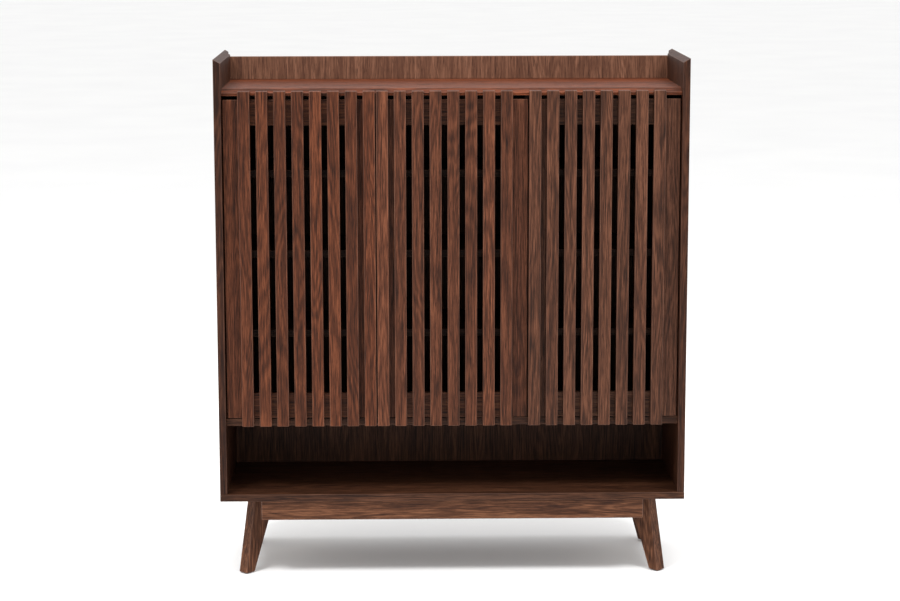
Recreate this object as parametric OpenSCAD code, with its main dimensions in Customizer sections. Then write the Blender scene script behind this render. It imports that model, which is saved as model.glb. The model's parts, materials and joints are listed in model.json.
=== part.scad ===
// Shoe cabinet with a low gallery on top, three slatted doors, an open compartment
// under the doors and four tapered legs set on the diagonal.
// Millimetres, +Z up, the front faces -Y. The origin is on the floor, under the middle.

/* [Cabinet] */
// overall width
cabinet_w = 1000; // [800:10:1400]
// overall depth, which is the depth of the bottom panel
cabinet_d = 350; // [290:1:450]
// overall height, at the outer top edge of the sides
cabinet_h = 1120; // [950:5:1500]
// thickness of the carcass boards and shelves
board_t = 15; // [12:1:20]
// thickness of the two partitions
partition_t = 15; // [12:0.5:15]

/* [Levels] */
// height of the underside of the bottom panel above the floor
base_h = 172; // [120:1:240]
// clear height of the open compartment
lower_h = 147; // [100:1:220]
// how far the sides rise above the top surface
side_rise = 63; // [30:1:120]
// how far the gallery rail rises above the top surface
gallery_h = 50; // [20:1:100]
// how far the top edge of a side falls inwards, and the front of the top panel falls forwards
bevel_fall = 8.5; // [0:0.5:10]
// how far the bottom panel stands out in front of the sides
bottom_lip = 2; // [0:0.5:10]
// distance from the back boards to the rear of the cabinet
back_recess = 29; // [5:1:40]
// how far the back boards reach into each side
rebate_w = 7; // [3:0.5:9]

/* [Doors] */
// gap beside and between the doors
door_gap = 2.5; // [2.5:0.5:4]
// gap between a door frame and the top panel
door_top_gap = 8; // [2:0.5:12]
// gap between a door frame and the mid panel
door_bottom_gap = 2; // [1:0.5:6]
// thickness of a door frame
frame_t = 15; // [15:1:20]
// height of the rails of a door frame
rail_h = 54; // [40:1:80]
// width of the stile that carries the hinges
hinge_stile_w = 55; // [50:1:80]
// width of the stile at the opening edge
free_stile_w = 45; // [30:1:80]
// number of slats on a door
slat_count = 8; // [5:1:12]
// width of a slat
slat_w = 25; // [15:1:30]
// thickness of a slat
slat_t = 20; // [12:1:22]
// bare width of the hinge stile beside the first slat
hinge_reveal = 32.5; // [30:0.5:45]
// distance from the top surface down to the slat tops
slat_top_drop = 4; // [0:0.5:10]
// distance from the underside of the mid panel up to the slat ends
slat_end_rise = 2; // [0:0.5:10]

/* [Shelves] */
// distance from one shelf to the next
shelf_pitch = 172; // [120:4:220]
// clear height under the lowest shelf
first_cell_h = 174; // [120:2:220]
// distance from the front of the sides to the front of a shelf
shelf_setback = 50; // [45:1:90]
// clearance at each end of a shelf
shelf_clear = 1; // [0.5:0.5:2]

/* [Base] */
// thickness of a leg
leg_t = 24; // [18:1:35]
// width of a leg at the top
leg_top_w = 63; // [40:1:90]
// width of a leg at the foot
leg_foot_w = 25; // [18:1:40]
// how far the foot stands out beyond the top of the leg, along the diagonal
leg_splay = 30; // [0:1:50]
// distance from the edges of the bottom panel to the outer edge of a foot
leg_inset = 43; // [30:1:80]
// height of the front and rear aprons
apron_h = 43; // [30:1:70]
// thickness of an apron
apron_t = 18; // [15:1:22]
// distance from each end of the cabinet to the end of an apron
apron_end = 88; // [60:1:150]
// distance from the edge of the bottom panel to the face of an apron
apron_setback = 6; // [2:1:20]

/* [Hidden] */
$fn = 32;

// clearances
fit = 0.05;
frame_clear = 1.5;
slat_clear = 1;
rebate_clear = 0.5;

// screws, as [shank diameter, head diameter, head height], and their lengths
wood_screw = [4, 8, 2.5];
panel_screw = [6, 10, 3];
plate_screw = [4, 7, 1.5];
wing_screw = [3.5, 6.5, 1];
panel_screw_l = 48;
back_screw_l = 40;
short_screw_l = 12;
slat_screw_share = 0.6;
leg_screw_grip = 28;
block_screw_grip = 11;

// pins, dowels and cams
pin_d = 5;
pin_out = 8;
pin_in = 6;
dowel_d = 6;
dowel_in_face = 10;
dowel_in_edge = 14;
cam_d = 15;
cam_depth = 11;
cam_from_end = 24;
cam_slot = [8, 1.2, 1.6];
bolt_d = 6;
bolt_in_side = 10;
bolt_in_cam = 2;
bolt_seat = 0.6;

// where the fittings are, from the edges of their boards
pin_front = 35;
pin_rear = 40;
joint_inset = 45;
side_screw_front = 50;
side_screw_rear = 60;
back_screw_spread = 90;
rail_dowel_inset = 60;

// base
glide_t = 2;
glide_d = 18;
glide_setback = 1;
glide_pin_d = 3;
glide_pin_l = 12;
block_l = 40;
block_h = 40;
block_t = 40;
leg_screw_drops = [10, 30];
block_screw_spread = 12;

// hinge: a cup in the door, an arm on the carcass and a cranked link between them
cup_d = 35;
cup_depth = 11.5;
cup_wall = 1;
cup_edge = 22.5;
hinge_end = 100;
wing_w = 16;
wing_l = 54;
wing_t = 1;
wing_screw_rise = 24;
plate_t = 2;
plate_front = 38;
plate_rear = 78;
plate_h = 46;
plate_screw_rise = 16;
arm_block_front = 46;
arm_block_rear = 60;
ear_t = 1.5;
ear_reach = 4;
link_h = 8;
link_gap = 0.4;
link_t = 3;
link_end_d = 3.5;
knuckle_d = 4.4;
ear_w = 4;
pivot_d = 2.4;
// the link in plan: distance from the hinge edge of the door, distance behind the frame's front
link_pivot = [8.64, 17.5];
link_crank = [18, 34.5];
link_elbow = [41.6, 42.5];
link_tip = [34.9, 6.9];

// levels
floor_z = base_h + board_t;
mid_z = floor_z + lower_h;
mid_top = mid_z + board_t;
top_surface = cabinet_h - side_rise;
top_z = top_surface - board_t;
frame_z = mid_top + door_bottom_gap;
frame_top = top_z - door_top_gap;
slat_z = mid_z + slat_end_rise;
slat_top = top_surface - slat_top_drop;

// plan
half_w = cabinet_w / 2;
half_d = cabinet_d / 2;
inner_w = cabinet_w - 2 * board_t;
side_front = -half_d + bottom_lip;
frame_front = side_front + slat_t;
panel_front = frame_front + slat_clear;
partition_front = frame_front + frame_t + frame_clear;
shelf_front = side_front + shelf_setback;
back_front = half_d - back_recess - board_t;
panel_d = back_front - panel_front;
// doors are whole tenths of a millimetre wide, and the gaps share what is left
door_w = round(10 * (inner_w - 4 * door_gap) / 3) / 10;
door_space = (inner_w - 3 * door_w) / 4;
partition_x = (door_w + door_space) / 2;
back_seam_x = round(partition_x);
slat_field = door_w - hinge_reveal;
slat_pitch = (slat_field - slat_w) / (slat_count - 1);
hinge_zs = [frame_z + hinge_end, frame_top - hinge_end];
shelf_zs = [for (k = [0:2]) mid_top + first_cell_h + k * shelf_pitch];
pin_ys = [shelf_front + pin_front, back_front - pin_rear];
joint_ys = [panel_front + joint_inset, back_front - joint_inset];
cam_zs = [mid_z, top_z];

// a bay is [left face, right face]; a door is [hinge edge, direction of the free edge, wall face]
bays = [
    [-inner_w / 2, -partition_x - partition_t / 2],
    [-partition_x + partition_t / 2, partition_x - partition_t / 2],
    [partition_x + partition_t / 2, inner_w / 2]
];
left_edge = -inner_w / 2 + door_space;
doors = [
    [left_edge, 1, -door_space],
    [left_edge + 2 * door_w + door_space, -1, (partition_t - door_space) / 2],
    [left_edge + 3 * door_w + 2 * door_space, -1, -door_space]
];

walnut = "#6b4634";
walnut_dark = "#4a2f24";
walnut_light = "#7d5542";
birch = "#c9a878";
steel = "#b9bcc0";
black = "#1c1c1c";

// a cylinder along +X
module rod_x(d, l) {
    rotate([0, 90, 0]) cylinder(d = d, h = l);
}

// a cylinder along +Y
module rod_y(d, l) {
    rotate([-90, 0, 0]) cylinder(d = d, h = l);
}

// a flat-headed screw: the head starts at the origin, the shank points along +Z
module screw(size, l, grow) {
    cylinder(d = size[1] + grow, h = size[2]);
    cylinder(d = size[0] + grow, h = l + grow);
}

// ---- fasteners, drawn at their real places; grow makes the holes for them ----

// shelf pins in one wall face; dir points from the face into the bay
module wall_pins(face_x, dir, grow = 0) {
    for (z = shelf_zs, y = pin_ys)
        translate([face_x - dir * pin_in, y, z - pin_d / 2])
            rotate([0, dir * 90, 0])
                cylinder(d = pin_d + grow, h = pin_in + pin_out);
}

// the two cam bolts that hold one end of a panel to a side; dir points into the cabinet
module cam_bolts(z, dir, grow = 0) {
    for (y = joint_ys)
        translate([-dir * (inner_w / 2 + bolt_in_side), y, z + board_t / 2])
            rotate([0, dir * 90, 0])
                cylinder(d = bolt_d + grow, h = bolt_in_side + cam_from_end - bolt_in_cam);
}

// the two cams at one end of a panel, let into its underside
module cams(z, dir, grow = 0) {
    for (y = joint_ys)
        translate([-dir * (inner_w / 2 - cam_from_end), y, z - grow])
            cylinder(d = cam_d + grow, h = cam_depth + grow);
}

// long screws up through the bottom panel into one side
module side_screws(dir, grow = 0) {
    for (y = [-half_d + side_screw_front, half_d - side_screw_rear])
        translate([dir * (half_w - board_t / 2), y, base_h])
            screw(panel_screw, panel_screw_l, grow);
}

// long screws up through the mid panel into one partition
module partition_screws(dir, grow = 0) {
    for (y = joint_ys)
        translate([dir * partition_x, y, mid_z])
            screw(panel_screw, panel_screw_l, grow);
}

// dowels between the top panel and one partition
module partition_dowels(dir, grow = 0) {
    for (y = joint_ys)
        translate([dir * partition_x, y, top_z - dowel_in_edge])
            cylinder(d = dowel_d + grow, h = dowel_in_edge + dowel_in_face);
}

// dowels between one apron and the bottom panel
module apron_dowels(side, grow = 0) {
    for (x = [-3, -1, 1, 3] * (half_w - apron_end) / 4)
        translate([x, side * (half_d - apron_setback - apron_t / 2), base_h - dowel_in_edge])
            cylinder(d = dowel_d + grow, h = dowel_in_edge + dowel_in_face);
}

// dowels between the gallery rail and the back boards
module rail_dowels(grow = 0) {
    for (side = [-1, 1], x = [partition_x / 2, half_w - rail_dowel_inset])
        translate([side * x, back_front + board_t / 2, top_surface - dowel_in_edge])
            cylinder(d = dowel_d + grow, h = 2 * dowel_in_edge);
}

// screws from behind through one back board into the mid and top panels
module back_screws(bay, grow = 0) {
    middle = (bays[bay][0] + bays[bay][1]) / 2;
    for (side = [-1, 1], z = [mid_z, top_z])
        translate([middle + side * back_screw_spread, back_front + board_t, z + board_t / 2])
            rotate([90, 0, 0])
                screw(wood_screw, back_screw_l, grow);
}

// places its children at both hinges of a door, with x along the door and y behind its front
module at_hinges(door) {
    for (z = hinge_zs)
        translate([doors[door][0], frame_front, z])
            mirror([doors[door][1] < 0 ? 1 : 0, 0, 0])
                children();
}

// screws of the two mounting plates of a door, from the plate into the wall
module plate_screws(door, grow = 0) {
    wall = doors[door][2];
    at_hinges(door)
        for (dz = [-1, 1] * plate_screw_rise)
            translate([wall + plate_t + plate_screw[2], (plate_rear + arm_block_rear) / 2, dz])
                rotate([0, -90, 0])
                    screw(plate_screw, short_screw_l, grow);
}

// screws from the back of a door frame into every slat, near both ends
module slat_screws(door, grow = 0) {
    edge = doors[door][0];
    dir = doors[door][1];
    for (k = [0:slat_count - 1], z = [frame_z + rail_h / 2, frame_top - rail_h / 2])
        translate([edge + dir * slat_centre(k), frame_front + frame_t, z])
            rotate([90, 0, 0])
                screw(wood_screw, frame_t + slat_screw_share * slat_t, grow);
}

// screws that hold the wings of the hinge cups
module wing_screws(door, grow = 0) {
    at_hinges(door)
        for (dz = [-1, 1] * wing_screw_rise)
            translate([cup_edge, frame_t + wing_t + wing_screw[2], dz])
                rotate([90, 0, 0])
                    screw(wing_screw, short_screw_l, grow);
}

function slat_centre(k) = hinge_reveal + slat_w / 2 + k * slat_pitch;

// ---- carcass ----

// one side; dir is -1 on the left and 1 on the right
module side_panel(dir) {
    color(walnut) difference() {
        mirror([dir < 0 ? 1 : 0, 0, 0])
            translate([half_w - board_t, half_d, floor_z])
                rotate([90, 0, 0])
                    linear_extrude(cabinet_d - bottom_lip)
                        polygon([
                            [0, 0],
                            [board_t, 0],
                            [board_t, cabinet_h - floor_z],
                            [0, cabinet_h - floor_z - bevel_fall]
                        ]);
        // rebate for the back boards and the gallery rail
        translate([dir > 0 ? inner_w / 2 - 1 : -inner_w / 2 - rebate_w, back_front, floor_z - 1])
            cube([rebate_w + 1, cabinet_d, cabinet_h]);
        wall_pins(dir * inner_w / 2, -dir, 2 * fit);
        for (z = cam_zs)
            cam_bolts(z, -dir, 2 * fit);
        side_screws(dir, 2 * fit);
        plate_screws(dir < 0 ? 0 : 2, 2 * fit);
    }
}

// the top panel, with its front edge bevelled like the tops of the sides
module top_panel() {
    color(walnut_light) difference() {
        translate([-inner_w / 2, 0, 0])
            rotate([90, 0, 90])
                linear_extrude(inner_w)
                    polygon([
                        [panel_front, top_z],
                        [back_front, top_z],
                        [back_front, top_surface],
                        [panel_front + board_t, top_surface],
                        [panel_front, top_surface - bevel_fall]
                    ]);
        for (dir = [-1, 1]) {
            cam_bolts(top_z, dir, 2 * fit);
            cams(top_z, dir, 2 * fit);
            partition_dowels(dir, 2 * fit);
        }
        for (bay = [0:2])
            back_screws(bay, 2 * fit);
    }
}

module mid_panel() {
    color(walnut) difference() {
        translate([-inner_w / 2, panel_front, mid_z]) cube([inner_w, panel_d, board_t]);
        for (dir = [-1, 1]) {
            cam_bolts(mid_z, dir, 2 * fit);
            cams(mid_z, dir, 2 * fit);
            partition_screws(dir, 2 * fit);
        }
        for (bay = [0:2])
            back_screws(bay, 2 * fit);
    }
}

module bottom_panel() {
    color(walnut) difference() {
        translate([-half_w, -half_d, base_h]) cube([cabinet_w, cabinet_d, board_t]);
        for (dir = [-1, 1]) {
            side_screws(dir, 2 * fit);
            apron_dowels(dir, 2 * fit);
        }
        block_screws(2 * fit);
    }
}

// one partition; dir is -1 on the left and 1 on the right
module partition(dir) {
    color(walnut) difference() {
        translate([dir * partition_x - partition_t / 2, partition_front, mid_top])
            cube([partition_t, back_front - partition_front, top_z - mid_top]);
        for (face = [-1, 1])
            wall_pins(dir * partition_x + face * partition_t / 2, face, 2 * fit);
        partition_screws(dir, 2 * fit);
        partition_dowels(dir, 2 * fit);
        if (dir > 0)
            plate_screws(1, 2 * fit);
    }
}

// one of the three back boards, which meet behind the partitions
module back_board(bay) {
    outer = inner_w / 2 + rebate_w - rebate_clear;
    edges = [-outer, -back_seam_x, back_seam_x, outer];
    color(walnut_dark) difference() {
        translate([edges[bay], back_front, floor_z])
            cube([edges[bay + 1] - edges[bay], board_t, top_surface - floor_z]);
        back_screws(bay, 2 * fit);
        rail_dowels(2 * fit);
    }
}

module gallery_rail() {
    rail_w = inner_w + 2 * (rebate_w - rebate_clear);
    color(walnut_light) difference() {
        translate([-rail_w / 2, back_front, top_surface])
            cube([rail_w, board_t, gallery_h]);
        rail_dowels(2 * fit);
    }
}

// one shelf, on four pins
module shelf(bay, level) {
    left = bays[bay][0] + shelf_clear;
    right = bays[bay][1] - shelf_clear;
    color(walnut) translate([left, shelf_front, shelf_zs[level]])
        cube([right - left, back_front - shelf_clear - shelf_front, board_t]);
}

module shelf_pins() {
    color(steel)
        for (bay = bays) {
            wall_pins(bay[0], 1);
            wall_pins(bay[1], -1);
        }
}

// cams with a cross slot in the face and a seat for the bolt
module cam_fittings() {
    color(steel)
        for (z = cam_zs, dir = [-1, 1]) {
            cam_bolts(z, dir);
            difference() {
                cams(z, dir);
                cam_bolts(z, dir, bolt_seat);
                for (y = joint_ys, turn = [0, 90])
                    translate([-dir * (inner_w / 2 - cam_from_end), y, z])
                        rotate([0, 0, turn])
                            cube([cam_slot[0], cam_slot[1], 2 * cam_slot[2]], center = true);
            }
        }
}

module dowels() {
    color(birch) {
        rail_dowels();
        for (dir = [-1, 1]) {
            partition_dowels(dir);
            apron_dowels(dir);
        }
    }
}

module panel_screws() {
    color(steel)
        for (dir = [-1, 1]) {
            side_screws(dir);
            partition_screws(dir);
        }
}

module back_board_screws() {
    color(steel)
        for (bay = [0:2])
            back_screws(bay);
}

// ---- base ----

// puts its children at one foot: x runs out along the diagonal, y across it
module at_leg(dir_x, dir_y) {
    translate([dir_x * (half_w - leg_inset), dir_y * (half_d - leg_inset), 0])
        rotate([0, 0, atan2(dir_y, dir_x)])
            children();
}

// a slab of thickness t that stands in the diagonal plane
module upright_slab(t, points) {
    rotate([90, 0, 0])
        linear_extrude(t, center = true)
            polygon(points);
}

// how far the inner edge of a leg is from the outer edge of its foot, at height z
function leg_inner(z) =
    leg_foot_w + (leg_splay + leg_top_w - leg_foot_w) * (z - glide_t) / (base_h - glide_t);

module leg(dir_x, dir_y) {
    color(walnut_light) difference() {
        at_leg(dir_x, dir_y)
            upright_slab(leg_t, [
                [0, glide_t],
                [-leg_foot_w, glide_t],
                [-leg_splay - leg_top_w, base_h],
                [-leg_splay, base_h]
            ]);
        leg_screws(2 * fit);
        foot_pins(2 * fit);
    }
}

// a wooden block behind each leg, screwed to the leg and to the bottom panel
module corner_blocks() {
    low = base_h - block_h;
    color(birch) difference() {
        for (dir_x = [-1, 1], dir_y = [-1, 1])
            at_leg(dir_x, dir_y)
                upright_slab(block_t, [
                    [-leg_inner(low), low],
                    [-leg_inner(base_h), base_h],
                    [-leg_inner(base_h) - block_l, base_h],
                    [-leg_inner(base_h) - block_l, low]
                ]);
        leg_screws(2 * fit);
        block_screws(2 * fit);
    }
}

// level screws through a block into the inner edge of its leg
module leg_screws(grow = 0) {
    for (dir_x = [-1, 1], dir_y = [-1, 1])
        at_leg(dir_x, dir_y)
            for (drop = leg_screw_drops)
                translate([-leg_inner(base_h) - block_l, 0, base_h - drop])
                    rotate([0, 90, 0])
                        screw(panel_screw, block_l + leg_screw_grip, grow);
}

// upright screws through a block into the bottom panel
module block_screws(grow = 0) {
    for (dir_x = [-1, 1], dir_y = [-1, 1])
        at_leg(dir_x, dir_y)
            for (dy = [-1, 1] * block_screw_spread)
                translate([-leg_inner(base_h) - block_l / 2, dy, base_h - block_h])
                    screw(wood_screw, block_h + block_screw_grip, grow);
}

module base_screws() {
    color(steel) {
        leg_screws();
        block_screws();
    }
}

// pins of the foot glides
module foot_pins(grow = 0) {
    for (dir_x = [-1, 1], dir_y = [-1, 1])
        at_leg(dir_x, dir_y)
            translate([-leg_foot_w / 2 - glide_setback, 0, glide_t / 2])
                cylinder(d = glide_pin_d + grow, h = glide_t / 2 + glide_pin_l);
}

module foot_glides() {
    color(black) {
        foot_pins();
        for (dir_x = [-1, 1], dir_y = [-1, 1])
            at_leg(dir_x, dir_y)
                translate([-leg_foot_w / 2 - glide_setback, 0, 0])
                    cylinder(d = glide_d, h = glide_t);
    }
}

// the front apron is side -1, the rear one is side 1
module apron(side) {
    face = half_d - apron_setback;
    color(walnut_light) difference() {
        translate([-half_w + apron_end, side > 0 ? face - apron_t : -face, base_h - apron_h])
            cube([cabinet_w - 2 * apron_end, apron_t, apron_h]);
        apron_dowels(side, 2 * fit);
    }
}

// ---- doors ----

// a board of a door: from and to along the door, then height range
module door_board(door, from, to, z0, z1) {
    edge = doors[door][0];
    dir = doors[door][1];
    translate([min(edge + dir * from, edge + dir * to), frame_front, z0])
        cube([to - from, frame_t, z1 - z0]);
}

module hinge_stile(door) {
    color(walnut) difference() {
        door_board(door, 0, hinge_stile_w, frame_z, frame_top);
        at_hinges(door)
            translate([cup_edge, frame_t - cup_depth, 0])
                rod_y(cup_d + 2 * fit, cup_depth + 1);
        wing_screws(door, 2 * fit);
        slat_screws(door, 2 * fit);
    }
}

module free_stile(door) {
    color(walnut) difference() {
        door_board(door, door_w - free_stile_w, door_w, frame_z, frame_top);
        slat_screws(door, 2 * fit);
    }
}

module door_rail(door, z) {
    color(walnut) difference() {
        door_board(door, hinge_stile_w, door_w - free_stile_w, z, z + rail_h);
        slat_screws(door, 2 * fit);
    }
}

module door_slats(door) {
    edge = doors[door][0];
    dir = doors[door][1];
    color(walnut_light) difference() {
        for (k = [0:slat_count - 1])
            translate([edge + dir * slat_centre(k) - slat_w / 2, frame_front - slat_t, slat_z])
                cube([slat_w, slat_t, slat_top - slat_z]);
        slat_screws(door, 2 * fit);
    }
}

module door_screws(door) {
    color(steel) {
        slat_screws(door);
        wing_screws(door);
    }
}

// steel cups with two wings that lie on the back of the stile
module hinge_cups(door) {
    color(steel) difference() {
        at_hinges(door)
            difference() {
                union() {
                    translate([cup_edge, frame_t - cup_depth, 0]) rod_y(cup_d, cup_depth);
                    translate([cup_edge - wing_w / 2, frame_t, -wing_l / 2])
                        cube([wing_w, wing_t, wing_l]);
                }
                translate([cup_edge, frame_t - cup_depth + cup_wall, 0])
                    rod_y(cup_d - 2 * cup_wall, cup_depth + 5);
            }
        wing_screws(door, 2 * fit);
    }
}

// a flat bar in plan through a list of points, with a round boss at each
module plan_bar(points, w, boss_d, h) {
    for (p = points)
        translate([p[0], p[1], -h / 2])
            cylinder(d = boss_d, h = h);
    for (k = [0:len(points) - 2]) {
        run = points[k + 1] - points[k];
        translate([points[k][0], points[k][1], -h / 2])
            rotate([0, 0, atan2(run[1], run[0])])
                translate([0, -w / 2, 0])
                    cube([norm(run), w, h]);
    }
}

// mounting plates and arms on the carcass, with two ears and the pivot pin of the link
module hinge_arm(wall) {
    ear_z = link_h / 2 + link_gap;
    difference() {
        union() {
            translate([wall, plate_front, -plate_h / 2])
                cube([plate_t, plate_rear - plate_front, plate_h]);
            translate([wall, arm_block_front, -ear_z - ear_t])
                cube([
                    link_pivot[0] + knuckle_d / 2 - wall,
                    arm_block_rear - arm_block_front,
                    2 * (ear_z + ear_t)
                ]);
            for (side = [-1, 1])
                translate([0, 0, side * (ear_z + ear_t / 2)])
                    plan_bar(
                        [link_pivot, [link_pivot[0], arm_block_front + ear_reach]],
                        ear_w,
                        knuckle_d,
                        ear_t
                    );
            translate([link_pivot[0], link_pivot[1], -ear_z - ear_t])
                cylinder(d = pivot_d, h = 2 * (ear_z + ear_t));
        }
        for (dz = [-1, 1] * plate_screw_rise)
            translate([wall - 1, (plate_rear + arm_block_rear) / 2, dz])
                rod_x(plate_screw[0] + 2 * fit, plate_t + 2);
    }
}

module hinge_arms() {
    color(steel)
        for (door = [0:2])
            at_hinges(door)
                hinge_arm(doors[door][2]);
}

module hinge_plate_screws() {
    color(steel)
        for (door = [0:2])
            plate_screws(door);
}

// cranked links: each turns on its arm's pin and reaches into the cup
module hinge_links(door) {
    color(steel)
        at_hinges(door)
            difference() {
                union() {
                    plan_bar(
                        [link_pivot, link_crank, link_elbow, link_tip],
                        link_t,
                        link_end_d,
                        link_h
                    );
                    translate([link_pivot[0], link_pivot[1], -link_h / 2])
                        cylinder(d = knuckle_d, h = link_h);
                }
                translate([link_pivot[0], link_pivot[1], -link_h])
                    cylinder(d = pivot_d + 2 * fit, h = 2 * link_h);
            }
}

side_panel(-1);  // side_panel_left
side_panel(1);  // side_panel_right
top_panel();
mid_panel();
bottom_panel();
partition(-1);  // partition_left
partition(1);  // partition_right
back_board(0);  // back_board_left
back_board(1);  // back_board_middle
back_board(2);  // back_board_right
gallery_rail();
shelf(0, 0);  // shelf_left_low
shelf(0, 1);  // shelf_left_mid
shelf(0, 2);  // shelf_left_high
shelf(1, 0);  // shelf_middle_low
shelf(1, 1);  // shelf_middle_mid
shelf(1, 2);  // shelf_middle_high
shelf(2, 0);  // shelf_right_low
shelf(2, 1);  // shelf_right_mid
shelf(2, 2);  // shelf_right_high
shelf_pins();
cam_fittings();
dowels();
panel_screws();
back_board_screws();
leg(-1, -1);  // leg_front_left
leg(1, -1);  // leg_front_right
leg(-1, 1);  // leg_rear_left
leg(1, 1);  // leg_rear_right
corner_blocks();
base_screws();
foot_glides();
apron(-1);  // apron_front
apron(1);  // apron_rear
hinge_arms();
hinge_plate_screws();
hinge_stile(0);  // door_left_hinge_stile
free_stile(0);  // door_left_free_stile
door_rail(0, frame_top - rail_h);  // door_left_top_rail
door_rail(0, frame_z);  // door_left_bottom_rail
door_slats(0);  // door_left_slats
hinge_cups(0);  // door_left_hinge_cups
door_screws(0);  // door_left_screws
hinge_stile(1);  // door_middle_hinge_stile
free_stile(1);  // door_middle_free_stile
door_rail(1, frame_top - rail_h);  // door_middle_top_rail
door_rail(1, frame_z);  // door_middle_bottom_rail
door_slats(1);  // door_middle_slats
hinge_cups(1);  // door_middle_hinge_cups
door_screws(1);  // door_middle_screws
hinge_stile(2);  // door_right_hinge_stile
free_stile(2);  // door_right_free_stile
door_rail(2, frame_top - rail_h);  // door_right_top_rail
door_rail(2, frame_z);  // door_right_bottom_rail
door_slats(2);  // door_right_slats
hinge_cups(2);  // door_right_hinge_cups
door_screws(2);  // door_right_screws
hinge_links(0);  // hinge_links_left
hinge_links(1);  // hinge_links_middle
hinge_links(2);  // hinge_links_right
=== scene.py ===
"""The looks of the shoe cabinet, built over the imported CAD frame.

Each board is made anew with rounded edges. It takes its size and place from its CAD node, and has
bores for the cams, screws and hinge cups that sit in its faces. Small hardware shows its CAD mesh.
Metres, in the frame's own axes: +Z up, the doors face -Y.
"""

import json
import math
import random

import bmesh
import bpy
from mathutils import Matrix, Vector


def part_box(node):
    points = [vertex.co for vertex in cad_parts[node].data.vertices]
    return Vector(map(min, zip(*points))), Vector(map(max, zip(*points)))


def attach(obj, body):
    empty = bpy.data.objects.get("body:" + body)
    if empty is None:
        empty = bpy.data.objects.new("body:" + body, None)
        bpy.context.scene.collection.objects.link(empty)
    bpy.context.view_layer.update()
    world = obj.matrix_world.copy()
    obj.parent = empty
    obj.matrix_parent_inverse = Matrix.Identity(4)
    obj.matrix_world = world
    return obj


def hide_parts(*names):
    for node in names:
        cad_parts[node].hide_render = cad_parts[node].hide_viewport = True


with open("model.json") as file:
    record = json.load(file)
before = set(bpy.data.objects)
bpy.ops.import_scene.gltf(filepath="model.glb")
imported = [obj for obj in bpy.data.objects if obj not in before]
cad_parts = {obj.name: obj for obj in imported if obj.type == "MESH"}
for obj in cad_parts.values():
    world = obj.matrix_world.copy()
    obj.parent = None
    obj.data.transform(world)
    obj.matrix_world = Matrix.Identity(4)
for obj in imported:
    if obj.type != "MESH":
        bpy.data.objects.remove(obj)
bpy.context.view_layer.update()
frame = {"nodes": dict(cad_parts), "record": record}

MM = 0.001
SIDES = ("left", "right")
DOORS = ("left", "middle", "right")
LEVELS = ("low", "mid", "high")
SEED = 7

# fitted to the edges of the cabinet in the photograph: metres, degrees and millimetres
CAMERA_PLACE = (-0.1031, -5.0909, 1.4300)
CAMERA_PITCH = 9.483
CAMERA_YAW = 1.141
CAMERA_ROLL = -0.074
CAMERA_LENS = 93.88
CAMERA_SENSOR = 36
CAMERA_REACH = 200

# the rounding of edges, and the play around the hardware
BOARD_ARRIS = 0.8 * MM
SLAT_ARRIS = 1.2 * MM
LEG_ARRIS = 2.0 * MM
ARRIS_SEGMENTS = 2
BORE_PLAY = 0.15 * MM
BORE_SIDES = 48
# points closer than this are one point, and heights closer than this are one height
WELD = 0.002 * MM
# the rebate in a side begins this far beyond the end of the gallery rail
REBATE_PLAY = 0.5 * MM

# the red, green and blue of the walnut, from the troughs of its figure to the crests
WALNUT_DARK = (0.018, 0.0062, 0.0034)
WALNUT_MIDDLE = (0.066, 0.0205, 0.0095)
WALNUT_LIGHT = (0.150, 0.051, 0.025)
PORE_COLOUR = (0.007, 0.0028, 0.0017, 1)
# the lighter colour of the rounded edges: rubbed wood, and a painted highlight along the arrises
RUBBED_AND_HIGHLIT_COLOUR = (0.19, 0.10, 0.07, 1)
# how fine the walnut's noise is, across the grain and along it, in waves per metre
SLOW_GRAIN = (14, 1.3)
BAND_GRAIN = (70, 1.6)
STREAK_GRAIN = (330, 11)
FIBRE_GRAIN = (820, 28)
PORE_GRAIN = (1000, 50)
RINGS_PER_WAVE = 150
# what each takes in the figure
RING_SHARE = 0.03
BAND_SHARE = 0.24
STREAK_SHARE = 0.42
FIBRE_SHARE = 0.34
# each piece is cut from wood up to this many metres away
GRAIN_SPREAD = 40

# tones multiply the walnut's red, green and blue
PLAIN = (1, 1, 1)
# partitions and shelves are darkened by this: painted shade inside the cabinet
PAINTED_INTERIOR_SHADE = (0.6, 0.6, 0.6)
# the gallery rail is made pale and greyish: a painted reflection of the bright overhead light
GALLERY_PAINTED_REFLECTION_TINT = (0.92, 1.0, 1.25)
# the top panel is made lighter and yellower: painted light where the lamps fall on it from above
TOP_PAINTED_LIGHT_TINT = (1.1, 1.0, 0.7)
DOOR_TINTS = {"left": (1.0, 0.90, 0.78), "middle": (1.0, 1.0, 0.98), "right": (0.96, 1.12, 1.24)}
SLAT_TONES = {
    "left": (0.80, 0.96, 0.76, 0.86, 1.12, 0.98, 0.78, 0.98),
    "middle": (1.08, 0.86, 0.90, 0.92, 0.86, 0.84, 1.16, 0.80),
    "right": (0.93, 0.95, 0.88, 1.02, 0.93, 0.83, 0.94, 0.80),
}

FLOOR_SIZE = 400
LIGHT_TARGET = Vector((0, 0, 0.6))
# name, width, height, watts, azimuth, elevation and distance
LIGHTS = (
    ("left key", 0.9, 0.9, 95, -40, 48, 4.0),
    ("right key", 0.9, 0.9, 70, 42, 50, 4.0),
    ("top", 3.0, 2.0, 50, 0, 88, 3.2),
)


# ---- camera ----

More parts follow.
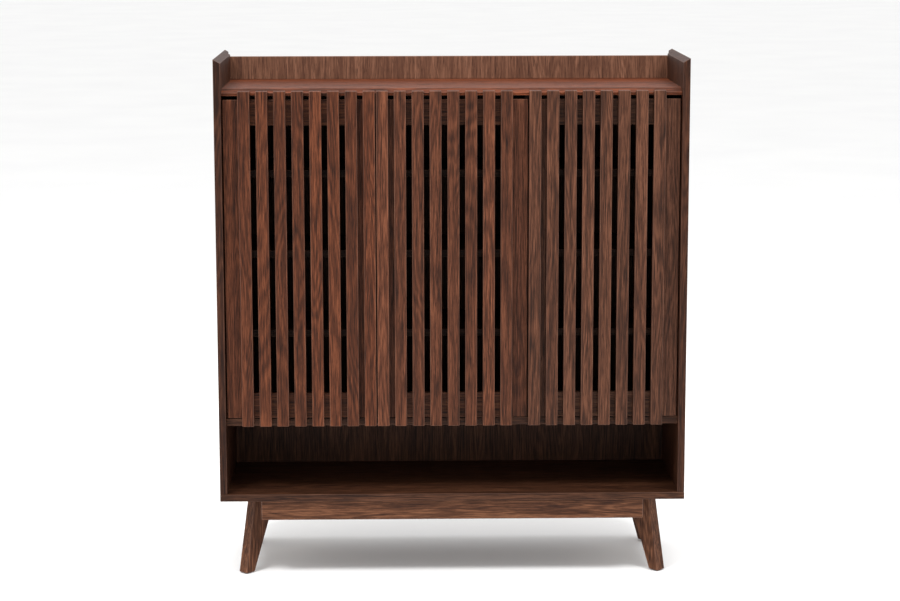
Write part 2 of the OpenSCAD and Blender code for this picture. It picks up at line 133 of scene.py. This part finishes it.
def make_camera():
    """The photograph's view: a little left of the middle and above the top, looking down."""
    camera = bpy.data.cameras.new("camera")
    camera.sensor_width = CAMERA_SENSOR
    camera.lens = CAMERA_LENS
    camera.clip_end = CAMERA_REACH
    seat = bpy.data.objects.new("camera", camera)
    bpy.context.scene.collection.objects.link(seat)
    pitch = math.radians(CAMERA_PITCH)
    yaw = math.radians(CAMERA_YAW)
    roll = math.radians(CAMERA_ROLL)
    turn = (
        Matrix.Rotation(-yaw, 4, "Z")
        @ Matrix.Rotation(math.pi / 2 - pitch, 4, "X")
        @ Matrix.Rotation(roll, 4, "Z")
    )
    seat.matrix_world = Matrix.Translation(CAMERA_PLACE) @ turn
    bpy.context.scene.camera = seat


# ---- node helpers ----

def new_material(name):
    """A material with its node tree and its Principled shader."""
    material = bpy.data.materials.new(name)
    material.use_nodes = True
    tree = material.node_tree
    return material, tree, tree.nodes["Principled BSDF"]


def add(tree, kind, inputs, output=0, **settings):
    """Adds a node and returns one of its outputs. An input is a value, or the output that feeds it."""
    node = tree.nodes.new(kind)
    for key, value in settings.items():
        setattr(node, key, value)
    for key, value in inputs.items():
        if isinstance(value, bpy.types.NodeSocket):
            tree.links.new(value, node.inputs[key])
        else:
            node.inputs[key].default_value = value
    return node.outputs[output]


def object_space(tree):
    return add(tree, "ShaderNodeTexCoord", {}, "Object")


def maths(tree, operation, a, b=0.0):
    return add(tree, "ShaderNodeMath", {0: a, 1: b}, operation=operation)


def attribute(tree, name, output):
    return add(tree, "ShaderNodeAttribute", {}, output, attribute_name=name)


def noise(tree, vector, scale, detail, distortion=0.0, roughness=0.5):
    """Noise over vector stretched by scale, which is given per axis."""
    stretched = add(tree, "ShaderNodeMapping", {"Vector": vector, "Scale": scale})
    inputs = {
        "Vector": stretched,
        "Scale": 1.0,
        "Detail": detail,
        "Distortion": distortion,
        "Roughness": roughness,
    }
    return add(tree, "ShaderNodeTexNoise", inputs, "Fac")


def spread(tree, value, low, high, to_low=0.0, to_high=1.0):
    """Maps value from low..high to to_low..to_high, and holds it there."""
    inputs = {
        "Value": value,
        "From Min": low,
        "From Max": high,
        "To Min": to_low,
        "To Max": to_high,
    }
    return add(tree, "ShaderNodeMapRange", inputs)


def mix(tree, share, a, b, blend="MIX"):
    """Mixes colours. 0, 6 and 7 are the node's inputs for them, and 2 is its colour output."""
    inputs = {0: share, 6: a, 7: b}
    return add(tree, "ShaderNodeMix", inputs, 2, data_type="RGBA", blend_type=blend)


def ramp(tree, value, stops):
    """A colour ramp: stops are (place, colour) pairs."""
    node = tree.nodes.new("ShaderNodeValToRGB")
    elements = node.color_ramp.elements
    while len(elements) < len(stops):
        elements.new(0.5)
    for element, (place, colour) in zip(elements, stops):
        element.position = place
        element.color = (*colour, 1)
    tree.links.new(value, node.inputs[0])
    return node.outputs[0]


def surface(tree, shader, colour, roughness, height, strength, depth):
    """Gives the shader its colour, its roughness and a bump that is depth deep."""
    tree.links.new(colour, shader.inputs["Base Color"])
    tree.links.new(roughness, shader.inputs["Roughness"])
    bump = {"Height": height, "Strength": strength, "Distance": depth}
    tree.links.new(add(tree, "ShaderNodeBump", bump), shader.inputs["Normal"])


# ---- materials ----

def along(axis, grain):
    """The noise scale on X, Y and Z for a grain that runs along axis."""
    across, lengthwise = grain
    return [lengthwise if name == axis else across for name in "XYZ"]


def lifted(colour, lift, warmth=1.0):
    """A colour made brighter by lift and redder by warmth."""
    red, green, blue = colour
    return (red * lift * warmth, green * lift, blue * lift)


def walnut(name, axis, warmth=1.0, lift=1.0, calm=0.1):
    """Satin walnut with its grain along axis. A larger calm gives less contrast in the figure.

    Each piece brings its own grain_shift and tone. Its rounded edges are lighter, partly as wear and
    partly as a painted highlight on the arrises.
    """
    material, tree, shader = new_material(name)
    shift = attribute(tree, "grain_shift", "Vector")
    inputs = {0: object_space(tree), 1: shift}
    vector = add(tree, "ShaderNodeVectorMath", inputs, operation="ADD")

    # rings of slow noise make the cathedral figure, crossed by streaks, fibres and pores
    slow = noise(tree, vector, along(axis, SLOW_GRAIN), 2, 0.4)
    rings = maths(tree, "SINE", maths(tree, "MULTIPLY", slow, RINGS_PER_WAVE))
    bands = noise(tree, vector, along(axis, BAND_GRAIN), 3, 0.2, 0.6)
    streaks = noise(tree, vector, along(axis, STREAK_GRAIN), 5, 0.8, 0.72)
    fibres = noise(tree, vector, along(axis, FIBRE_GRAIN), 3, 0, 0.6)
    pores = spread(tree, noise(tree, vector, along(axis, PORE_GRAIN), 1), 0.6, 0.7)

    figure = maths(tree, "MULTIPLY", rings, RING_SHARE)
    for part, share in ((bands, BAND_SHARE), (streaks, STREAK_SHARE), (fibres, FIBRE_SHARE)):
        figure = maths(tree, "ADD", figure, maths(tree, "MULTIPLY", part, share))
    stops = [
        (0.5 - calm, lifted(WALNUT_DARK, lift)),
        (0.5, lifted(WALNUT_MIDDLE, lift, warmth)),
        (0.5 + calm, lifted(WALNUT_LIGHT, lift, warmth)),
    ]
    colour = ramp(tree, figure, stops)
    colour = mix(tree, 1.0, colour, attribute(tree, "tone", "Vector"), "MULTIPLY")
    colour = mix(tree, maths(tree, "MULTIPLY", pores, 0.6), colour, PORE_COLOUR)
    # rounded edges turn lighter in patches: wear, and a painted highlight on the arrises
    patchy = spread(tree, streaks, 0.35, 0.65, 0.1, 0.45)
    rubbed_and_highlit = maths(tree, "MULTIPLY", attribute(tree, "rubbed_and_highlit", "Fac"), patchy)
    colour = mix(tree, rubbed_and_highlit, colour, RUBBED_AND_HIGHLIT_COLOUR)

    gloss = spread(tree, streaks, 0.3, 0.7, 0.56, 0.42)
    roughness = maths(tree, "ADD", gloss, maths(tree, "MULTIPLY", pores, 0.2))
    height = maths(tree, "SUBTRACT", fibres, pores)
    surface(tree, shader, colour, roughness, height, 0.3, 0.15 * MM)
    shader.inputs["Specular IOR Level"].default_value = 0.13
    return material


def pale_wood():
    """Bare birch of the dowels and corner blocks."""
    material, tree, shader = new_material("pale_wood")
    vector = object_space(tree)
    streaks = noise(tree, vector, (160, 160, 9), 4, 0.3, 0.6)
    flecks = noise(tree, vector, (900, 900, 60), 2)
    colour = ramp(tree, streaks, [(0.3, (0.36, 0.22, 0.11)), (0.7, (0.60, 0.43, 0.25))])
    colour = mix(tree, spread(tree, flecks, 0.6, 0.72, 0, 0.4), colour, (0.25, 0.14, 0.07, 1))
    roughness = spread(tree, streaks, 0.3, 0.7, 0.62, 0.8)
    surface(tree, shader, colour, roughness, streaks, 0.25, 0.2 * MM)
    return material


def steel():
    """Nickel-plated hinges, screws and pins, with fine brushing and dulled patches."""
    material, tree, shader = new_material("steel")
    vector = object_space(tree)
    brushed = noise(tree, vector, (2400, 2400, 90), 3, 0, 0.7)
    patches = noise(tree, vector, (110, 110, 110), 3, 0.5)
    colour = ramp(tree, patches, [(0.3, (0.42, 0.41, 0.39)), (0.7, (0.66, 0.66, 0.65))])
    dulled = maths(tree, "MULTIPLY", spread(tree, patches, 0.3, 0.7, 0.9, 1.3), 0.26)
    roughness = maths(tree, "ADD", dulled, maths(tree, "MULTIPLY", brushed, 0.12))
    surface(tree, shader, colour, roughness, brushed, 0.12, 0.05 * MM)
    shader.inputs["Metallic"].default_value = 1.0
    return material


def glide_plastic():
    """Black moulded plastic under the feet, with a fine eggshell texture."""
    material, tree, shader = new_material("glide_plastic")
    vector = object_space(tree)
    grain = noise(tree, vector, (1800, 1800, 1800), 2)
    scuffs = noise(tree, vector, (220, 220, 220), 3, 0.8)
    colour = ramp(tree, scuffs, [(0.4, (0.012, 0.012, 0.013)), (0.75, (0.045, 0.043, 0.042))])
    roughness = spread(tree, scuffs, 0.3, 0.7, 0.45, 0.7)
    surface(tree, shader, colour, roughness, grain, 0.2, 0.1 * MM)
    return material


def floor_paper():
    """The studio's seamless white sheet, with the faintest unevenness."""
    material, tree, shader = new_material("floor_paper")
    vector = object_space(tree)
    cloud = noise(tree, vector, (1.5, 1.5, 1.5), 3)
    colour = ramp(tree, cloud, [(0.3, (0.93, 0.93, 0.93)), (0.7, (0.96, 0.96, 0.955))])
    tree.links.new(colour, shader.inputs["Base Color"])
    shader.inputs["Roughness"].default_value = 0.9
    shader.inputs["Specular IOR Level"].default_value = 0.1
    return material


# ---- boards ----

def solid_boxes(node):
    """The box of each separate solid in a CAD node, from left to right, then from low to high."""
    mesh = bmesh.new()
    mesh.from_mesh(frame["nodes"][node].data)
    bmesh.ops.remove_doubles(mesh, verts=mesh.verts, dist=WELD)
    boxes = []
    seen = set()
    for start in mesh.verts:
        if start in seen:
            continue
        seen.add(start)
        solid = [start]
        for vert in solid:
            for edge in vert.link_edges:
                other = edge.other_vert(vert)
                if other not in seen:
                    seen.add(other)
                    solid.append(other)
        low = Vector([min(v.co[i] for v in solid) for i in range(3)])
        high = Vector([max(v.co[i] for v in solid) for i in range(3)])
        boxes.append((low, high))
    mesh.free()
    return sorted(boxes, key=lambda b: (round(b[0].x, 4), round(b[0].z, 4)))


def prism(bottom, top):
    """A closed block between two loops of points, counter-clockwise from above."""
    mesh = bmesh.new()
    low = [mesh.verts.new(p) for p in bottom]
    high = [mesh.verts.new(p) for p in top]
    mesh.faces.new(list(reversed(low)))
    mesh.faces.new(high)
    for i in range(len(low)):
        j = (i + 1) % len(low)
        mesh.faces.new((low[i], low[j], high[j], high[i]))
    return mesh


def block(low, high):
    """A box-shaped block."""
    loop = [(low.x, low.y), (high.x, low.y), (high.x, high.y), (low.x, high.y)]
    return prism([(x, y, low.z) for x, y in loop], [(x, y, high.z) for x, y in loop])


def soften(mesh, arris):
    """Rounds every edge, and marks the rounded faces for the lighter edge colour, which is wear and
    painted highlight.
    """
    rubbed_and_highlit = mesh.faces.layers.float.new("rubbed_and_highlit")
    rounded = bmesh.ops.bevel(
        mesh,
        geom=list(mesh.edges),
        offset=arris,
        segments=ARRIS_SEGMENTS,
        profile=0.5,
        affect="EDGES",
        clamp_overlap=True,
    )
    for face in rounded["faces"]:
        face[rubbed_and_highlit] = 1.0


def across_axes(axis):
    return [i for i in range(3) if i != axis]


def bore_cutter(boxes, axis):
    """One round plug for each box, along axis, a little wider than the hardware in the box."""
    mesh = bmesh.new()
    for low, high in boxes:
        size = high - low
        middle = (low + high) / 2
        radius = min(size[i] for i in across_axes(axis)) / 2 + BORE_PLAY
        turn = Matrix.Identity(4)
        if axis == 0:
            turn = Matrix.Rotation(math.pi / 2, 4, "Y")
        if axis == 1:
            turn = Matrix.Rotation(math.pi / 2, 4, "X")
        bmesh.ops.create_cone(
            mesh,
            cap_ends=True,
            segments=BORE_SIDES,
            radius1=radius,
            radius2=radius,
            depth=size[axis] + 2 * BORE_PLAY,
            matrix=Matrix.Translation(middle) @ turn,
        )
    return mesh


def as_object(name, mesh):
    """A Blender object from a bmesh, which is freed."""
    bmesh.ops.recalc_face_normals(mesh, faces=mesh.faces)
    data = bpy.data.meshes.new(name)
    mesh.to_mesh(data)
    mesh.free()
    piece = bpy.data.objects.new(name, data)
    bpy.context.scene.collection.objects.link(piece)
    return piece


def drill(piece, cutter_mesh):
    """Cuts the bores out of a board for good."""
    cutter = as_object("cutter", cutter_mesh)
    cut = piece.modifiers.new("bores", "BOOLEAN")
    cut.operation = "DIFFERENCE"
    cut.solver = "EXACT"
    cut.object = cutter
    bpy.context.view_layer.update()
    evaluated = piece.evaluated_get(bpy.context.evaluated_depsgraph_get())
    data = bpy.data.meshes.new_from_object(evaluated)
    piece.modifiers.clear()
    piece.data = data
    bpy.data.objects.remove(cutter)


def paint(piece, material, tone, dice):
    """Gives a piece its material, its own stretch of grain and its own tone."""
    piece.data.materials.clear()
    piece.data.materials.append(material)
    count = len(piece.data.polygons)
    shift = [dice.uniform(-GRAIN_SPREAD, GRAIN_SPREAD) for _ in range(3)]
    shifts = piece.data.attributes.new("grain_shift", "FLOAT_VECTOR", "FACE")
    shifts.data.foreach_set("vector", shift * count)
    tones = piece.data.attributes.new("tone", "FLOAT_VECTOR", "FACE")
    tones.data.foreach_set("vector", list(tone) * count)


def finish_piece(piece, body, node, material, tone, dice):
    """Paints a piece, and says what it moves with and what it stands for."""
    paint(piece, material, tone, dice)
    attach(piece, body)
    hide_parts(node)


def flush_with(boxes, low, high, axis):
    """The boxes that reach through a face of the board, or to it, within the board's outline."""
    found = []
    for box_low, box_high in boxes:
        middle = (box_low + box_high) / 2
        within = all(low[i] < middle[i] < high[i] for i in across_axes(axis))
        overlaps = box_high[axis] > low[axis] and box_low[axis] < high[axis]
        reaches = box_low[axis] < low[axis] + WELD or box_high[axis] > high[axis] - WELD
        if within and overlaps and reaches:
            found.append((box_low, box_high))
    return found


def board(node, body, material, tone, dice, arris=BOARD_ARRIS, hardware=(), axis=1):
    """A board in place of a CAD node, with bores along axis for the hardware."""
    low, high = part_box(node)
    mesh = block(low, high)
    soften(mesh, arris)
    piece = as_object(node + ".wood", mesh)
    boxes = [b for name in hardware for b in flush_with(HARDWARE[name], low, high, axis)]
    if boxes:
        drill(piece, bore_cutter(boxes, axis))
    finish_piece(piece, body, node, material, tone, dice)


HARDWARE_NODES = ["cam_fittings", "panel_screws", "back_board_screws"]
for which in DOORS:
    HARDWARE_NODES += [f"door_{which}_hinge_cups", f"door_{which}_screws"]
HARDWARE = {name: solid_boxes(name) for name in HARDWARE_NODES}


# ---- carcass ----

def points_of(node):
    return [v.co for v in frame["nodes"][node].data.vertices]


def level_of(node, axis, at):
    """The highest point of a CAD node on the plane where axis equals at."""
    return max(p.z for p in points_of(node) if abs(p[axis] - at) < WELD)


def side_panel(side, material, tone, dice):
    """A side with its sloping top edge, and the rebate behind for the rail and back boards."""
    node = "side_panel_" + side
    low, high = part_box(node)
    rail_low, rail_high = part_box("gallery_rail")
    if side == "left":
        outer, inner, rebate = low.x, high.x, rail_low.x - REBATE_PLAY
    else:
        outer, inner, rebate = high.x, low.x, rail_high.x + REBATE_PLAY
    inner_top = level_of(node, 0, inner)
    slope = (high.z - inner_top) / (outer - inner)
    loop = [
        (outer, low.y),
        (outer, high.y),
        (rebate, high.y),
        (rebate, rail_low.y),
        (inner, rail_low.y),
        (inner, low.y),
    ]
    if side == "left":
        loop.reverse()
    mesh = prism(
        [(x, y, low.z) for x, y in loop],
        [(x, y, inner_top + slope * (x - inner)) for x, y in loop],
    )
    soften(mesh, BOARD_ARRIS)
    piece = as_object(node + ".wood", mesh)
    finish_piece(piece, "carcass", node, material, tone, dice)


def top_panel(material, tone, dice):
    """The top panel with its bevelled front edge and the bores of its cams."""
    node = "top_panel"
    low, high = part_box(node)
    front_top = level_of(node, 1, low.y)
    flat_from = min(p.y for p in points_of(node) if p.z > high.z - WELD)
    section = [
        (low.y, low.z),
        (high.y, low.z),
        (high.y, high.z),
        (flat_from, high.z),
        (low.y, front_top),
    ]
    mesh = prism(
        [(low.x, y, z) for y, z in section],
        [(high.x, y, z) for y, z in section],
    )
    soften(mesh, BOARD_ARRIS)
    piece = as_object(node + ".wood", mesh)
    drill(piece, bore_cutter(flush_with(HARDWARE["cam_fittings"], low, high, 2), 2))
    finish_piece(piece, "carcass", node, material, tone, dice)


def carcass(dice):
    """The sides, panels, partitions, shelves, back boards and gallery rail."""
    upright = walnut("walnut_carcass_upright", "Z", warmth=0.95, lift=0.50)
    level = walnut("walnut_carcass_level", "X", warmth=0.86, lift=0.66)
    # the top's walnut is a brighter copy of the level walnut: painted light on the top
    top = walnut("walnut_top_level_painted_light", "X", warmth=1.2, lift=0.95)
    # a much brighter, greyer copy of the walnut: painted reflection on the gallery rail
    gallery = walnut("walnut_gallery_painted_reflection", "Z", warmth=0.78, lift=2.45, calm=0.17)
    back = walnut("walnut_back_upright", "Z", warmth=0.85, lift=0.7)
    for side in SIDES:
        side_panel(side, upright, PLAIN, dice)
        # the partition is darkened: painted shade inside the cabinet
        board("partition_" + side, "carcass", upright, PAINTED_INTERIOR_SHADE, dice)
    top_panel(top, TOP_PAINTED_LIGHT_TINT, dice)
    panels = {"mid_panel": ["cam_fittings", "panel_screws"], "bottom_panel": ["panel_screws"]}
    for node, screws in panels.items():
        board(node, "carcass", level, PLAIN, dice, hardware=screws, axis=2)
    board("gallery_rail", "carcass", gallery, GALLERY_PAINTED_REFLECTION_TINT, dice)
    screws = ["back_board_screws"]
    for bay in DOORS:
        board("back_board_" + bay, "carcass", back, PLAIN, dice, hardware=screws)
        for height in LEVELS:
            # the shelf is darkened: painted shade inside the cabinet
            board(f"shelf_{bay}_{height}", "carcass", level, PAINTED_INTERIOR_SHADE, dice)


# ---- base ----

def leg(node, material, tone, dice):
    """A tapered board set on the diagonal, from the corners of its CAD node."""
    points = points_of(node)
    low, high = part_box(node)
    middle = (low + high) / 2
    run = Vector((math.copysign(1, middle.x), math.copysign(1, middle.y), 0)).normalized()
    side = Vector((-run.y, run.x, 0))
    half = max(p @ side for p in points) - middle @ side
    ends = []
    for z in (low.z, high.z):
        reach = [p @ run for p in points if abs(p.z - z) < WELD]
        ends.append((min(reach), max(reach)))
    centre = side * (middle @ side)
    loops = []
    for z, (near, far) in zip((low.z, high.z), ends):
        corners = [(near, -half), (far, -half), (far, half), (near, half)]
        loops.append([run * a + side * b + centre + Vector((0, 0, z)) for a, b in corners])
    mesh = prism(*loops)
    soften(mesh, LEG_ARRIS)
    piece = as_object(node + ".wood", mesh)
    finish_piece(piece, "carcass", node, material, tone, dice)


def base(dice):
    """The front and rear aprons, and a leg at each corner."""
    upright = walnut("walnut_base_upright", "Z", warmth=0.84, lift=1.4)
    level = walnut("walnut_base_level", "X", warmth=0.82, lift=1.42)
    for end in ("front", "rear"):
        board("apron_" + end, "carcass", level, PLAIN, dice, LEG_ARRIS)
        for side in SIDES:
            leg(f"leg_{end}_{side}", upright, PLAIN, dice)


# ---- doors ----

def door(which, upright, level, slat_wood, dice):
    """The four boards of a door's frame and its slats, each slat with its own tone."""
    body = "door_" + which
    tint = DOOR_TINTS[which]
    behind = [body + "_hinge_cups", body + "_screws"]
    parts = {"hinge_stile": upright, "free_stile": upright, "top_rail": level, "bottom_rail": level}
    for part, wood in parts.items():
        board(f"{body}_{part}", body, wood, tint, dice, hardware=behind)
    node = body + "_slats"
    slats = zip(solid_boxes(node), SLAT_TONES[which])
    for count, ((low, high), tone) in enumerate(slats, 1):
        mesh = block(low, high)
        soften(mesh, SLAT_ARRIS)
        slat = as_object(f"{body}_slat_{count}.wood", mesh)
        slat_tone = [tone * share for share in tint]
        finish_piece(slat, body, node, slat_wood, slat_tone, dice)


def doors(dice):
    upright = walnut("walnut_frames_upright", "Z", warmth=1.0, lift=0.95)
    level = walnut("walnut_frames_level", "X", warmth=0.95, lift=1.0)
    slat_wood = walnut("walnut_slats_upright", "Z", warmth=1.0, lift=1.05)
    for which in DOORS:
        door(which, upright, level, slat_wood, dice)


# ---- hardware ----

def hardware():
    """Gives every CAD node that still shows its finish, by the record's material slots."""
    finishes = {"steel": steel(), "pale_wood": pale_wood(), "glide_plastic": glide_plastic()}
    for part in frame["record"]["subparts"]:
        node = frame["nodes"][part["node"]]
        if not node.hide_render:
            node.data.materials.clear()
            node.data.materials.append(finishes[part["material_slot"]])


# ---- studio ----

def area_light(name, width, height, watts, azimuth, elevation, distance):
    """A white soft box that looks at the cabinet. Azimuth 0 faces the doors, 90 is on the right."""
    light = bpy.data.lights.new(name, "AREA")
    light.shape = "RECTANGLE"
    light.size = width
    light.size_y = height
    light.energy = watts
    lamp = bpy.data.objects.new(name, light)
    bpy.context.scene.collection.objects.link(lamp)
    a = math.radians(azimuth)
    e = math.radians(elevation)
    away = Vector((math.sin(a) * math.cos(e), -math.cos(a) * math.cos(e), math.sin(e)))
    aim = away.to_track_quat("Z", "Y").to_matrix().to_4x4()
    lamp.matrix_world = Matrix.Translation(LIGHT_TARGET + away * distance) @ aim


def studio():
    """The white floor, the white surroundings and the lights."""
    bpy.ops.mesh.primitive_plane_add(size=FLOOR_SIZE)
    floor = bpy.context.object
    floor.name = "floor"
    floor.data.materials.append(floor_paper())
    world = bpy.data.worlds.new("studio")
    bpy.context.scene.world = world
    world.use_nodes = True
    background = world.node_tree.nodes["Background"]
    background.inputs["Color"].default_value = (1, 1, 1, 1)
    background.inputs["Strength"].default_value = 1.0
    for light in LIGHTS:
        area_light(*light)
    bpy.context.scene.view_settings.view_transform = "Standard"


make_camera()
dice = random.Random(SEED)
carcass(dice)
base(dice)
doors(dice)
hardware()
studio()
